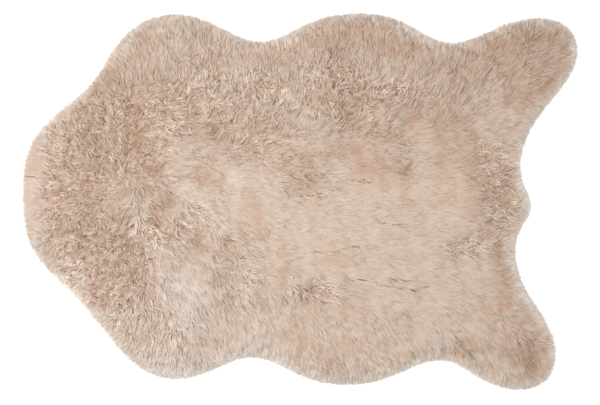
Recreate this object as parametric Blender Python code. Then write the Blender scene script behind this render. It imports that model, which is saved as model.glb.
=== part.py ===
# Faux sheepskin rug: one hide-shaped cut of long pile cloth, lying flat with the fur up.
# Metres, +Z up. The origin is on the floor, at the middle of the rug. +X runs from the
# rounded head end towards the two hind legs, and the fur's tips reach the stated outline.

import math
import random
from collections import namedtuple

import bmesh
import bpy
import numpy as np
from mathutils import Matrix, Vector, noise
from mathutils.geometry import delaunay_2d_cdt

# Driving dimensions
RUG_LENGTH = 2.700
RUG_WIDTH = 1.840
PILE_HEIGHT = 0.040
LOCK_REACH = 0.026
LOCK_COUNT = 290

# The fur's edge as a section: how far each ring stands inside the wall, and how high
FLOOR_RING_INSET = 0.010
WALL_FOOT_HEIGHT = 0.005
WALL_TOP_HEIGHT = 0.022
SHOULDER_INSET = 0.020
SHOULDER_HEIGHT = 0.031
FULL_HEIGHT_INSET = 0.110

# Lumps on the top, and the spacing of the points that carry them
LUMP_HEIGHT = 0.0065
LUMP_SIZE = 0.150
TUFT_HEIGHT = 0.0040
TUFT_SIZE = 0.060
LUMP_SLICE = 0.5
TUFT_SLICE = 7.5
HOLLOW_SHARE_AT_WALL = 0.3
TOP_SPACING = 0.046
TOP_MARGIN = 0.021
FLOOR_SPACING = 0.160
FLOOR_MARGIN = 0.048
SPACING_UNEVEN = 0.2
SPLINE_STEPS = 40
SEED = 11

# Rim locks
LOCK_SPACING_UNEVEN = 0.22
LOCK_SWAY_DEG = 22.0
LOCK_MIDDLE = 0.55
LOCK_MIDDLE_DROP = 0.3
LOCK_WAIST = 0.66
LOCK_TIP_HEIGHT = 0.0025
LOCK_UNEVEN = 0.40

Knot = namedtuple("Knot", "place x y")
Hollow = namedtuple("Hollow", "place x y length width turn depth")

# The outline that the fur reaches, clockwise seen from above, as real sizes
OUTLINE = (
    Knot("head end", -1.350, 0.058),
    Knot("head, far side", -1.331, 0.224),
    Knot("cheek, far side", -1.233, 0.394),
    Knot("neck, far side", -1.102, 0.501),
    Knot("neck hollow, far side", -1.005, 0.594),
    Knot("shoulder rise, far side", -0.932, 0.710),
    Knot("shoulder, far side", -0.786, 0.866),
    Knot("foreleg crest, far side", -0.591, 0.917),
    Knot("foreleg back, far side", -0.406, 0.864),
    Knot("flank hollow, far side", -0.182, 0.781),
    Knot("flank, far side", 0.002, 0.856),
    Knot("belly rise, far side", 0.173, 0.912),
    Knot("belly crest, far side", 0.353, 0.917),
    Knot("belly back, far side", 0.499, 0.878),
    Knot("hind hollow, far side", 0.718, 0.776),
    Knot("thigh, far side", 0.936, 0.844),
    Knot("hind leg top, far side", 1.155, 0.898),
    Knot("hind leg corner, far side", 1.296, 0.856),
    Knot("hind leg end, far side", 1.350, 0.739),
    Knot("hind leg back, far side", 1.287, 0.569),
    Knot("hind leg inside, far side", 1.141, 0.379),
    Knot("rump hollow, far side", 1.073, 0.175),
    Knot("tail side, far side", 1.102, 0.058),
    Knot("tail", 1.131, -0.019),
    Knot("tail side, near side", 1.082, -0.117),
    Knot("rump hollow, near side", 1.048, -0.234),
    Knot("hind leg inside, near side", 1.102, -0.428),
    Knot("hind leg back, near side", 1.209, -0.598),
    Knot("hind leg end, near side", 1.245, -0.749),
    Knot("hind leg corner, near side", 1.199, -0.866),
    Knot("hind leg top, near side", 1.078, -0.917),
    Knot("thigh, near side", 0.868, -0.861),
    Knot("hind hollow, near side", 0.684, -0.774),
    Knot("belly back, near side", 0.450, -0.849),
    Knot("belly crest, near side", 0.197, -0.893),
    Knot("belly rise, near side", 0.002, -0.849),
    Knot("flank hollow, near side", -0.241, -0.759),
    Knot("foreleg back, near side", -0.431, -0.825),
    Knot("foreleg crest, near side", -0.630, -0.866),
    Knot("shoulder, near side", -0.805, -0.793),
    Knot("shoulder rise, near side", -0.956, -0.628),
    Knot("neck, near side", -1.146, -0.414),
    Knot("cheek, near side", -1.292, -0.253),
)

# Where the fur parts and lies lower: a long dip at a place, turned in degrees from +X
HOLLOWS = (
    Hollow("neck, far side", -1.000, 0.350, 0.30, 0.09, 80, 0.011),
    Hollow("shoulder, far side", -0.815, 0.395, 0.30, 0.08, 95, 0.014),
    Hollow("foreleg, far side", -0.410, 0.690, 0.24, 0.06, 100, 0.009),
    Hollow("brow, far side", -1.125, 0.180, 0.22, 0.08, 60, 0.010),
    Hollow("brow, near side", -1.065, -0.150, 0.26, 0.09, 105, 0.012),
    Hollow("shoulder, near side", -0.815, -0.280, 0.34, 0.12, 100, 0.013),
    Hollow("neck, near side", -0.985, -0.390, 0.22, 0.08, 75, 0.010),
    Hollow("withers", -0.640, 0.030, 0.24, 0.08, 85, 0.010),
    Hollow("back, near side", -0.480, -0.190, 0.24, 0.07, 115, 0.011),
    Hollow("back, far side", -0.420, 0.350, 0.26, 0.08, 140, 0.009),
    Hollow("flank, near side", -0.365, -0.400, 0.30, 0.08, 110, 0.010),
    Hollow("belly, near side", 0.045, -0.450, 0.20, 0.10, 30, 0.012),
    Hollow("belly, far side", 0.240, 0.540, 0.24, 0.09, 95, 0.011),
    Hollow("loin, far side", 0.500, 0.400, 0.34, 0.06, 95, 0.009),
    Hollow("haunch, near side", 0.760, -0.700, 0.20, 0.06, 80, 0.010),
    Hollow("rump, near side", 0.930, -0.160, 0.34, 0.10, 95, 0.009),
    Hollow("rump, far side", 0.990, 0.610, 0.26, 0.10, 120, 0.009),
    Hollow("hind leg, near side", 1.110, -0.720, 0.24, 0.09, 100, 0.010),
)


def clear_scene():
    for old in list(bpy.data.objects):
        bpy.data.objects.remove(old, do_unlink=True)


def tangents_of(points, spans):
    """Tangents that make the closed cubic curve through the points smooth."""
    count = len(points)
    system = np.zeros((count, count))
    wanted = np.zeros((count, 2))
    for i in range(count):
        before, after = spans[i - 1], spans[i]
        system[i, i - 1] += after
        system[i, i] += 2 * (before + after)
        system[i, (i + 1) % count] += before
        rise_before = (points[i] - points[i - 1]) / before
        rise_after = (points[(i + 1) % count] - points[i]) / after
        wanted[i] = 3 * (after * rise_before + before * rise_after)
    return np.linalg.solve(system, wanted)


def closed_curve(knots):
    """Fine points along the smooth closed curve through the knots."""
    points = np.array([(knot.x, knot.y) for knot in knots])
    following = np.roll(points, -1, axis=0)
    spans = np.linalg.norm(following - points, axis=1)
    slopes = tangents_of(points, spans)
    following_slopes = np.roll(slopes, -1, axis=0)
    fine = []
    for i, span in enumerate(spans):
        for t in np.arange(SPLINE_STEPS) / SPLINE_STEPS:
            fine.append(
                (2 * t**3 - 3 * t**2 + 1) * points[i]
                + (t**3 - 2 * t**2 + t) * span * slopes[i]
                + (3 * t**2 - 2 * t**3) * following[i]
                + (t**3 - t**2) * span * following_slopes[i]
            )
    return np.array(fine)


def spaced_points(curve, count, rng):
    """That many points round a closed curve, at slightly uneven steps."""
    closed = np.vstack((curve, curve[:1]))
    steps = np.linalg.norm(np.diff(closed, axis=0), axis=1)
    along = np.concatenate(((0.0,), np.cumsum(steps)))
    shifts = [rng.uniform(0, LOCK_SPACING_UNEVEN) for _ in range(count)]
    places = (np.arange(count) + shifts) * along[-1] / count
    columns = [np.interp(places, along, closed[:, axis]) for axis in (0, 1)]
    return np.stack(columns, axis=1)


def outward_normals(ring):
    """Unit normals of a clockwise ring, pointing out of the rug."""
    ahead = np.roll(ring, -1, axis=0) - np.roll(ring, 1, axis=0)
    normals = np.stack((-ahead[:, 1], ahead[:, 0]), axis=1)
    return normals / np.linalg.norm(normals, axis=1)[:, None]


def inside(ring, x, y):
    """True where the point lies within the closed ring."""
    x0, y0 = ring[:, 0], ring[:, 1]
    x1, y1 = np.roll(x0, -1), np.roll(y0, -1)
    crosses = (y0 > y) != (y1 > y)
    rise = np.where(crosses, y1 - y0, 1.0)
    at = x0 + (y - y0) * (x1 - x0) / rise
    return bool(np.count_nonzero(crosses & (x < at)) % 2)


def distance_to(ring, x, y):
    return float(np.hypot(ring[:, 0] - x, ring[:, 1] - y).min())


def smooth_step(share):
    share = min(max(share, 0.0), 1.0)
    return share * share * (3 - 2 * share)


def hollow_depth(x, y):
    """How far the partings lower the fur at a place."""
    depth = 0.0
    for hollow in HOLLOWS:
        turn = math.radians(hollow.turn)
        along = (x - hollow.x) * math.cos(turn) + (y - hollow.y) * math.sin(turn)
        across = (y - hollow.y) * math.cos(turn) - (x - hollow.x) * math.sin(turn)
        far = (2 * along / hollow.length) ** 2 + (2 * across / hollow.width) ** 2
        depth += hollow.depth * math.exp(-far)
    return depth


def lumps(x, y):
    """The uneven top of the fur: broad lumps with tufts on them."""
    broad = noise.noise(Vector((x / LUMP_SIZE, y / LUMP_SIZE, LUMP_SLICE)))
    tufts = noise.noise(Vector((x / TUFT_SIZE, y / TUFT_SIZE, TUFT_SLICE)))
    return LUMP_HEIGHT * broad + TUFT_HEIGHT * tufts


def top_height(x, y, inset):
    """Height of the fur's top at a place that lies this far inside the wall."""
    share = (inset - SHOULDER_INSET) / (FULL_HEIGHT_INSET - SHOULDER_INSET)
    crown = SHOULDER_HEIGHT + (PILE_HEIGHT - SHOULDER_HEIGHT) * smooth_step(share)
    sunk = hollow_depth(x, y) * smooth_step(share + HOLLOW_SHARE_AT_WALL)
    return crown + lumps(x, y) - sunk


def scattered_grid(ring, spacing, margin, rng):
    """Points of a loosened triangular grid that lie within a ring, clear of its edge."""
    low, high = ring.min(axis=0), ring.max(axis=0)
    row_step = spacing * math.sqrt(3) / 2
    loose = spacing * SPACING_UNEVEN
    found = []
    for row in range(math.ceil((high[1] - low[1]) / row_step)):
        for column in range(math.ceil((high[0] - low[0]) / spacing)):
            x = low[0] + (column + row % 2 / 2) * spacing + rng.uniform(-loose, loose)
            y = low[1] + row * row_step + rng.uniform(-loose, loose)
            if inside(ring, x, y) and distance_to(ring, x, y) > margin:
                found.append((x, y))
    return found


def cap_faces(ring, inner_points):
    """Triangles, as index triples, that fill a ring and use the points inside it."""
    flat = [Vector(p) for p in ring] + [Vector(p) for p in inner_points]
    count = len(ring)
    edges = [(i, (i + 1) % count) for i in range(count)]
    _, _, faces, originals, _, _ = delaunay_2d_cdt(flat, edges, [], 1, 1e-7)
    return [[originals[corner][0] for corner in face] for face in faces]


def add_ring(mesh, ring, heights):
    return [mesh.verts.new((x, y, z)) for (x, y), z in zip(ring, heights)]


def add_band(mesh, lower, upper):
    """A band of four-sided faces between two rings of the same count."""
    count = len(lower)
    faces = []
    for i in range(count):
        after = (i + 1) % count
        corners = (lower[i], lower[after], upper[after], upper[i])
        faces.append(mesh.faces.new(corners))
    return faces


def add_cap(mesh, ring_verts, ring, inner_points, height_of):
    """Fills a ring with triangles whose inner points lie at their own heights."""
    inner = [mesh.verts.new((x, y, height_of(x, y))) for x, y in inner_points]
    verts = ring_verts + inner
    for face in cap_faces(ring, inner_points):
        mesh.faces.new([verts[corner] for corner in face])


def draw_out(mesh, face, waist, move):
    """Extrudes one face by a move, narrowed to a share of its size."""
    drawn = bmesh.ops.extrude_discrete_faces(mesh, faces=[face])["faces"][0]
    middle = drawn.calc_center_median()
    for vert in drawn.verts:
        vert.co = middle + (vert.co - middle) * waist + move
    return drawn


def add_lock(mesh, face, rng):
    """Draws one wall face out into a four-sided lock that droops to the floor."""
    root = face.calc_center_median()
    sway = math.radians(rng.uniform(-LOCK_SWAY_DEG, LOCK_SWAY_DEG))
    way = Matrix.Rotation(sway, 3, "Z") @ Vector((face.normal.x, face.normal.y, 0.0))
    way.normalize()
    reach = LOCK_REACH * (1 - LOCK_UNEVEN * rng.random())
    drop = LOCK_TIP_HEIGHT - root.z
    middle_move = way * reach * LOCK_MIDDLE + Vector((0, 0, drop * LOCK_MIDDLE_DROP))
    drawn = draw_out(mesh, face, LOCK_WAIST, middle_move)
    tip = bmesh.ops.poke(mesh, faces=[drawn])["verts"][0]
    tip.co = root + way * reach + Vector((0, 0, drop))


def fit_to_size(mesh):
    """Centres the rug on the origin, at its stated length and width over the tips."""
    places = np.array([vert.co[:2] for vert in mesh.verts])
    low, high = places.min(axis=0), places.max(axis=0)
    middle = (low + high) / 2
    share = np.array((RUG_LENGTH, RUG_WIDTH)) / (high - low)
    for vert in mesh.verts:
        vert.co.x = (vert.co.x - middle[0]) * share[0]
        vert.co.y = (vert.co.y - middle[1]) * share[1]


def rug_mesh():
    """The whole rug as one closed body: flat foot, rounded lumpy fur, locks at the rim."""
    rng = random.Random(SEED)
    count = LOCK_COUNT
    rim = spaced_points(closed_curve(OUTLINE), count, rng)
    normals = outward_normals(rim)
    wall = rim - normals * LOCK_REACH
    floor_ring = wall - normals * FLOOR_RING_INSET
    shoulder = wall - normals * SHOULDER_INSET

    mesh = bmesh.new()
    foot = add_ring(mesh, floor_ring, [0.0] * count)
    low = add_ring(mesh, wall, [WALL_FOOT_HEIGHT] * count)
    high = add_ring(mesh, wall, [WALL_TOP_HEIGHT + lumps(x, y) / 2 for x, y in wall])
    crest = add_ring(mesh, shoulder, [top_height(x, y, SHOULDER_INSET) for x, y in shoulder])

    add_band(mesh, foot, low)
    wall_faces = add_band(mesh, low, high)
    add_band(mesh, high, crest)

    top_points = scattered_grid(shoulder, TOP_SPACING, TOP_MARGIN, rng)
    add_cap(
        mesh,
        crest,
        shoulder,
        top_points,
        lambda x, y: top_height(x, y, distance_to(wall, x, y)),
    )
    floor_points = scattered_grid(floor_ring, FLOOR_SPACING, FLOOR_MARGIN, rng)
    add_cap(mesh, foot, floor_ring, floor_points, lambda x, y: 0.0)

    bmesh.ops.recalc_face_normals(mesh, faces=mesh.faces)
    for face in wall_faces:
        add_lock(mesh, face, rng)
    fit_to_size(mesh)
    bmesh.ops.triangulate(mesh, faces=mesh.faces)
    data = bpy.data.meshes.new("fur_rug")
    mesh.to_mesh(data)
    mesh.free()
    return data


def fur_material():
    """Soft taupe pile."""
    material = bpy.data.materials.new("fur")
    material.use_nodes = True
    shader = material.node_tree.nodes["Principled BSDF"]
    shader.inputs["Base Color"].default_value = (0.59, 0.46, 0.37, 1.0)
    shader.inputs["Roughness"].default_value = 0.92
    shader.inputs["Metallic"].default_value = 0.0
    return material


def add_rug():
    data = rug_mesh()
    data.materials.append(fur_material())
    rug = bpy.data.objects.new("fur_rug", data)
    bpy.context.scene.collection.objects.link(rug)
    return rug


clear_scene()
add_rug()
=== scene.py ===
# Faux sheepskin rug, laid flat: backing cloth, underfur, and the long pile combed over it.
# Metres, +Z up, in the frame's own place: +X runs from the head end to the hind legs.

import math
from collections import namedtuple
from functools import partial

import bmesh
import bpy
import numpy as np
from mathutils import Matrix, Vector, noise
from mathutils.bvhtree import BVHTree
from mathutils.geometry import delaunay_2d_cdt


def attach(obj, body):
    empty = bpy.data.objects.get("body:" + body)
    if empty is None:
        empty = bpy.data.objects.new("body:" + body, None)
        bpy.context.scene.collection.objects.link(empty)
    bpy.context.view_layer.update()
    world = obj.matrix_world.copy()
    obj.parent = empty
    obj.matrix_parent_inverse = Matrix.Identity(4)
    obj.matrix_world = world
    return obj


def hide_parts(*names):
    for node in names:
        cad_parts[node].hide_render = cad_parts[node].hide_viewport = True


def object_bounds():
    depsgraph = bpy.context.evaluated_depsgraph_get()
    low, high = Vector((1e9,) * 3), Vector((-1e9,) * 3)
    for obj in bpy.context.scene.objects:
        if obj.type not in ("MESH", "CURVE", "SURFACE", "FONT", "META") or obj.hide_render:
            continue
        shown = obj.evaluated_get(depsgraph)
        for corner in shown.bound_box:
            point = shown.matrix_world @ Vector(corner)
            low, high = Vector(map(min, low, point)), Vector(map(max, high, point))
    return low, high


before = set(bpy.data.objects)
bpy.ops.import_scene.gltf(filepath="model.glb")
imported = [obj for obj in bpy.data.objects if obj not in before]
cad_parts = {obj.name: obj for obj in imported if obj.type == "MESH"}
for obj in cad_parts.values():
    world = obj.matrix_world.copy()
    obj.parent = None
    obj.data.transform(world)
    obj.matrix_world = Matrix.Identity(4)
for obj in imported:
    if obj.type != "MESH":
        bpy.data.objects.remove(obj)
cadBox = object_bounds()
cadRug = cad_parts["fur_rug"]
print("frame loaded")


# The photo's frame, and the rug's own box in it, in pixels
photo = {
    "wide": 600,
    "high": 405,
    "rugLeft": 22,
    "rugRight": 577,
    "rugMiddleX": 299.5,
    "rugMiddleY": 202,
}
perPixel = (cadBox[1].x - cadBox[0].x) / (photo["rugRight"] - photo["rugLeft"])


def onRug(photoX, photoY):  # a place in the photo, as metres on the floor
    return (photoX - photo["rugMiddleX"]) * perPixel, (photo["rugMiddleY"] - photoY) * perPixel


# Camera, lights and floor
studio = {
    "cameraHeight": 7.0,
    "sensor": 0.036,
    "floorSize": 14.0,
    "floorColour": (0.93, 0.93, 0.93),
    "floorRoughness": 0.9,
    "worldColour": (1.0, 0.958, 0.918),
    "worldStrength": 0.744,
    "keySize": 1.2,
    "keyPower": 588.0,
    "keyPlace": (-2.1, 0.2, 6.0),
    "topSize": 6.0,
    "topPower": 90.0,
    "topHeight": 5.0,
}


def shown(name, data):  # a new object in the scene
    holder = bpy.data.objects.new(name, data)
    bpy.context.scene.collection.objects.link(holder)
    return holder


def makeCamera():
    middleX = (photo["wide"] / 2 - photo["rugMiddleX"]) * perPixel
    middleY = (photo["rugMiddleY"] - photo["high"] / 2) * perPixel
    camera = bpy.data.cameras.new("camera")
    camera.sensor_width = studio["sensor"] * 1000
    camera.lens = camera.sensor_width * studio["cameraHeight"] / (photo["wide"] * perPixel)
    holder = shown("camera", camera)
    holder.location = (middleX, middleY, studio["cameraHeight"])
    bpy.context.scene.camera = holder


def makeAreaLight(name, place, size, power):
    light = bpy.data.lights.new(name, "AREA")
    light.shape = "DISK"
    light.size = size
    light.energy = power
    holder = shown(name, light)
    holder.location = place
    holder.rotation_euler = (-Vector(place)).to_track_quat("-Z", "Y").to_euler()


def makeFloor():
    half = studio["floorSize"] / 2
    data = bpy.data.meshes.new("floor")
    corners = [(-half, -half, 0), (half, -half, 0), (half, half, 0), (-half, half, 0)]
    data.from_pydata(corners, [], [(0, 1, 2, 3)])
    material = bpy.data.materials.new("paleFloor")
    material.use_nodes = True
    shader = material.node_tree.nodes["Principled BSDF"]
    shader.inputs["Base Color"].default_value = (*studio["floorColour"], 1)
    shader.inputs["Roughness"].default_value = studio["floorRoughness"]
    data.materials.append(material)
    shown("floor", data)


def makeStudio():
    world = bpy.data.worlds.new("studio")
    world.use_nodes = True
    sky = world.node_tree.nodes["Background"]
    sky.inputs["Color"].default_value = (*studio["worldColour"], 1)
    sky.inputs["Strength"].default_value = studio["worldStrength"]
    bpy.context.scene.world = world
    makeAreaLight("keyLight", studio["keyPlace"], studio["keySize"], studio["keyPower"])
    makeAreaLight("topLight", (0, 0, studio["topHeight"]), studio["topSize"], studio["topPower"])
    makeFloor()
    makeCamera()
    bpy.context.scene.view_settings.view_transform = "Standard"
    print("studio ready")


# Rings and flat shapes
def footRing(weld=1e-5, level=1e-4):  # the flat foot's edge in order, clockwise from above
    mesh = bmesh.new()
    mesh.from_mesh(cadRug.data)
    bmesh.ops.remove_doubles(mesh, verts=mesh.verts, dist=weld)
    lowest = min(vert.co.z for vert in mesh.verts) + level
    isFoot = {face: all(vert.co.z < lowest for vert in face.verts) for face in mesh.faces}
    following = {}
    for edge in mesh.edges:
        sides = [face for face in edge.link_faces if isFoot[face]]
        if len(sides) != 1:
            continue
        loop = next(loop for loop in edge.link_loops if loop.face is sides[0])
        following[loop.vert.index] = loop.link_loop_next.vert.index
    mesh.verts.ensure_lookup_table()
    ring = [next(iter(following))]
    while len(ring) < len(following):
        ring.append(following[ring[-1]])
    places = np.array([mesh.verts[index].co[:2] for index in ring])
    mesh.free()
    ahead = np.roll(places, -1, axis=0)
    signedArea = (places[:, 0] * ahead[:, 1] - places[:, 1] * ahead[:, 0]).sum() / 2
    return places[::-1] if signedArea > 0 else places


def evenRing(ring, step, passes=3):  # the same closed line at even steps, smoothed a little
    closed = np.vstack((ring, ring[:1]))
    along = np.concatenate(((0.0,), np.cumsum(np.linalg.norm(np.diff(closed, axis=0), axis=1))))
    count = round(along[-1] / step)
    places = np.arange(count) * along[-1] / count
    even = np.stack([np.interp(places, along, closed[:, axis]) for axis in (0, 1)], axis=1)
    for _ in range(passes):
        even = (np.roll(even, 1, axis=0) + 2 * even + np.roll(even, -1, axis=0)) / 4
    return even


def outwards(ring):
    ahead = np.roll(ring, -1, axis=0) - np.roll(ring, 1, axis=0)
    normals = np.stack((-ahead[:, 1], ahead[:, 0]), axis=1)
    return normals / np.linalg.norm(normals, axis=1)[:, None]


def insideRing(ring, places):
    x, y = places[:, 0:1], places[:, 1:2]
    x0, y0 = ring[:, 0][None, :], ring[:, 1][None, :]
    x1, y1 = np.roll(ring[:, 0], -1)[None, :], np.roll(ring[:, 1], -1)[None, :]
    crosses = (y0 > y) != (y1 > y)
    rise = np.where(crosses, y1 - y0, 1.0)
    return (crosses & (x < x0 + (y - y0) * (x1 - x0) / rise)).sum(axis=1) % 2 == 1


def toRing(ring, places):  # distance to the nearest ring point, and that point's number
    squares = ((places[:, None, :] - ring[None, :, :]) ** 2).sum(axis=2)
    nearest = squares.argmin(axis=1)
    return np.sqrt(squares[np.arange(len(places)), nearest]), nearest


def looseGrid(ring, spacing, margin, seed, jitter=0.2):  # points inside a ring, a little uneven
    rng = np.random.default_rng(seed)
    low, high = ring.min(axis=0), ring.max(axis=0)
    rowStep = spacing * math.sqrt(3) / 2
    rows = np.arange(low[1], high[1], rowStep)
    columns = np.arange(low[0], high[0], spacing)
    x, y = np.meshgrid(columns, rows)
    x = x + (np.arange(len(rows)) % 2 * spacing / 2)[:, None]
    places = np.stack((x.ravel(), y.ravel()), axis=1)
    places += rng.uniform(-jitter, jitter, places.shape) * spacing
    places = places[insideRing(ring, places)]
    return places[toRing(ring, places)[0] > margin]


def fillRing(ring, inner, close=1e-7):  # triangles between a ring's points and those inside it
    flat = [Vector(place) for place in np.vstack((ring, inner))]
    count = len(ring)
    edges = [(i, (i + 1) % count) for i in range(count)]
    found = delaunay_2d_cdt(flat, edges, [], 1, close)
    return [[found[3][corner][0] for corner in face] for face in found[2]]


def closedBody(name, rings, heights, topInner, topHeights, floorInner):
    # rings run from the floor to the top, each with as many points as the next
    count = len(rings[0])
    places = [(x, y, z) for ring, high in zip(rings, heights) for (x, y), z in zip(ring, high)]
    topStart = len(places)
    places += [(x, y, z) for (x, y), z in zip(topInner, topHeights)]
    floorStart = len(places)
    places += [(x, y, heights[0][0]) for x, y in floorInner]
    faces = []
    for level in range(len(rings) - 1):
        for i in range(count):
            low, lowNext = level * count + i, level * count + (i + 1) % count
            faces.append((low, lowNext, lowNext + count, low + count))
    crest = (len(rings) - 1) * count
    for face in fillRing(rings[-1], topInner):
        faces.append([crest + i if i < count else topStart + i - count for i in face])
    for face in fillRing(rings[0], floorInner):
        faces.append([i if i < count else floorStart + i - count for i in face])
    mesh = bmesh.new()
    verts = [mesh.verts.new(place) for place in places]
    for face in faces:
        mesh.faces.new([verts[i] for i in face])
    bmesh.ops.recalc_face_normals(mesh, faces=mesh.faces)
    bmesh.ops.triangulate(mesh, faces=mesh.faces)
    data = bpy.data.meshes.new(name)
    mesh.to_mesh(data)
    mesh.free()
    data.shade_smooth()
    return shown(name, data)


# How the pile lies, placed one by one. Places and sizes are the photo's pixels, and turns are
# degrees from +X
stroke = namedtuple("stroke", "x y towards")
patch = namedtuple("patch", "x y halfLong halfWide change turn", defaults=[0])
crease = namedtuple("crease", "x0 y0 x1 y1 sag")


def marks(kind, table):  # all rows of a table, each as one stroke, patch or crease
    return [kind(*row) for rows in table.values() for row in rows]


# Which way the tips point
combStrokes = {
    "head": [
        (50, 190, 180), (58, 140, 150), (58, 245, 205), (92, 225, 192), (95, 125, 130), (100, 290, 222),
    ],
    "shoulders and forelegs": [
        (150, 45, 100), (190, 60, 88), (165, 135, -8), (205, 170, -14), (185, 220, -38), (160, 270, -58),
        (195, 305, -58), (150, 345, -105), (205, 350, -75),
    ],
    "flanks and belly": [
        (250, 75, 85), (305, 60, 84), (355, 50, 88), (250, 335, -58), (300, 340, -62), (350, 350, -62),
        (230, 118, 55),
    ],
    "back": [
        (250, 185, -5), (300, 150, 2), (245, 240, -24), (300, 230, -8), (280, 108, 75),
    ],
    "loin": [
        (405, 65, 78), (355, 150, 0), (350, 225, -2), (350, 282, -12), (332, 98, 88),
    ],
    "haunches": [
        (450, 80, 62), (405, 340, -50), (450, 328, -34), (455, 150, 5), (425, 100, 55),
    ],
    "rump": [
        (405, 150, 2), (505, 145, 10), (512, 190, 0), (400, 215, 0), (455, 215, 0), (505, 230, -4),
        (505, 275, -14), (425, 288, -12), (385, 108, 42),
    ],
    "hind legs": [
        (500, 60, 48), (545, 50, 30), (500, 340, -42), (530, 362, -52),
    ],
}
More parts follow.
